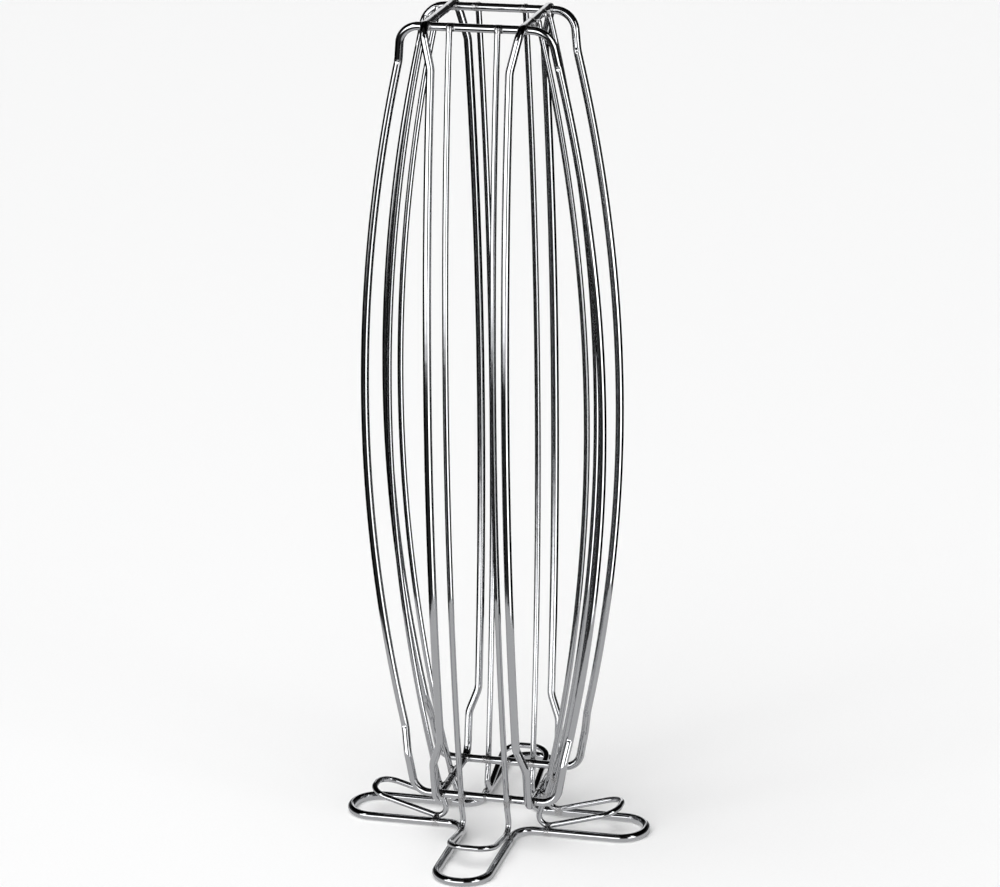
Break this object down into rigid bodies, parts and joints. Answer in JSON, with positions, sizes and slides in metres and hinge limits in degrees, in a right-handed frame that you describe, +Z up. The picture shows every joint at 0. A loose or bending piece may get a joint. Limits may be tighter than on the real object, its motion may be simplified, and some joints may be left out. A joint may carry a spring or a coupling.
{
  "type": "coffee capsule tower",
  "caption": "Free-standing tower of welded chrome wire: bowed rails and inner hairpins form tall gravity-fed columns for rimmed coffee capsules, on a flat petal-shaped foot ring.",
  "frame": {"origin": "middle of the foot ring's underside, on the surface that the tower stands on", "axes": "+Z up, +Y towards the back, +X to the right; the front column faces -Y"},
  "size_m": [0.1472, 0.1578, 0.3912],
  "materials": {
    "heavy_wire": "bright nickel-chrome plate over drawn steel wire",
    "light_wire": "bright nickel-chrome plate over drawn steel wire",
    "weld": "plated-over resistance weld, slightly rougher than the wire"
  },
  "bodies": {
    "root": {"front_loop": "heavy_wire", "back_loop": "heavy_wire", "left_loop": "heavy_wire", "right_loop": "heavy_wire", "front_hairpin": "light_wire", "back_hairpin": "light_wire", "left_hairpin": "light_wire", "right_hairpin": "light_wire", "foot_ring": "heavy_wire", "top_cross_welds": "weld", "bottom_cross_welds": "weld", "hairpin_top_welds": "weld", "hairpin_bar_welds": "weld", "hairpin_foot_welds": "weld", "loop_butt_welds": "weld", "ring_butt_weld": "weld"}
  },
  "joints": []
}
